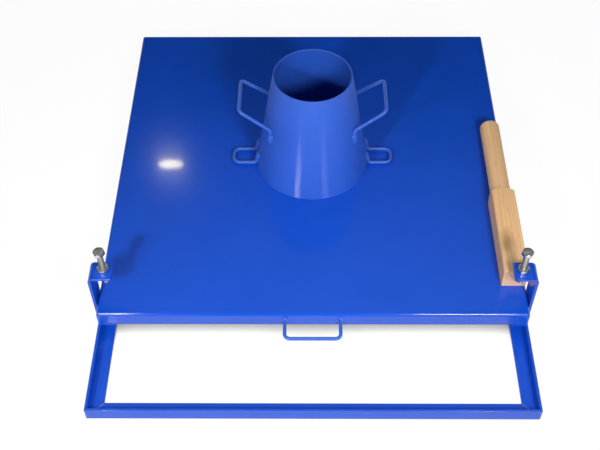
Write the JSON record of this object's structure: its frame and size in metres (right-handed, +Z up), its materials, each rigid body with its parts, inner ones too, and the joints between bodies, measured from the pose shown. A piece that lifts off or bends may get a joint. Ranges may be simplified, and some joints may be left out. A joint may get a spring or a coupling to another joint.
{
  "type": "concrete flow table",
  "caption": "Hinged steel drop table on an angle-iron base with a sheet cone and a wooden tamping bar, for spreading fresh concrete by lifting and dropping the table.",
  "frame": {"origin": "centre of the footprint, on the floor under the base rails", "axes": "+X to the right seen from the lifting handle, +Y from the front rail to the hinges, +Z up"},
  "size_m": [0.712, 0.8686, 0.2565],
  "materials": {
    "blue_paint": "glossy blue enamel over steel",
    "zinc_plate": "bright zinc plated steel",
    "beech": "bare planed hardwood"
  },
  "bodies": {
    "base_frame": {"base_rail_left": "blue_paint", "base_rail_right": "blue_paint", "base_rail_front": "blue_paint", "base_rail_rear": "blue_paint", "stop_bracket_left": "blue_paint", "stop_bracket_right": "blue_paint", "lock_nut_left": "zinc_plate", "lock_nut_right": "zinc_plate", "hinge_base_leaf_left": "blue_paint", "hinge_base_leaf_right": "blue_paint", "hinge_pin_left": "zinc_plate", "hinge_pin_right": "zinc_plate"},
    "drop_table": {"table_plate": "blue_paint", "table_rib_left": "blue_paint", "table_rib_centre": "blue_paint", "table_rib_right": "blue_paint", "table_handle": "blue_paint", "stop_pad_left": "blue_paint", "stop_pad_right": "blue_paint", "hinge_table_leaf_left": "blue_paint", "hinge_table_leaf_right": "blue_paint"},
    "cone": {"cone_shell": "blue_paint", "cone_handle_left": "blue_paint", "cone_handle_right": "blue_paint", "cone_foot_left": "blue_paint", "cone_foot_right": "blue_paint"},
    "tamping_bar": {"tamping_bar": "beech"},
    "stop_screw_left": {"stop_bolt_left": "zinc_plate"},
    "stop_screw_right": {"stop_bolt_right": "zinc_plate"}
  },
  "joints": [
    {"name": "table_lift", "type": "hinge", "parent": "base_frame", "child": "drop_table", "pos_m": [0, 0.4283, 0.0272], "axis": [-1, 0, 0], "range_deg": [0, 3.25]},
    {"name": "cone_lift", "type": "slide", "parent": "drop_table", "child": "cone", "axis": [0, 0, 1], "range_m": [0, 0.3]},
    {"name": "tamping_bar_lift", "type": "slide", "parent": "drop_table", "child": "tamping_bar", "axis": [0, 0, 1], "range_m": [0, 0.3]},
    {"name": "stop_screw_left_travel", "type": "slide", "parent": "base_frame", "child": "stop_screw_left", "axis": [0, 0, 1], "range_m": [0, 0.018]},
    {"name": "stop_screw_right_travel", "type": "slide", "parent": "base_frame", "child": "stop_screw_right", "axis": [0, 0, 1], "range_m": [0, 0.018]}
  ]
}
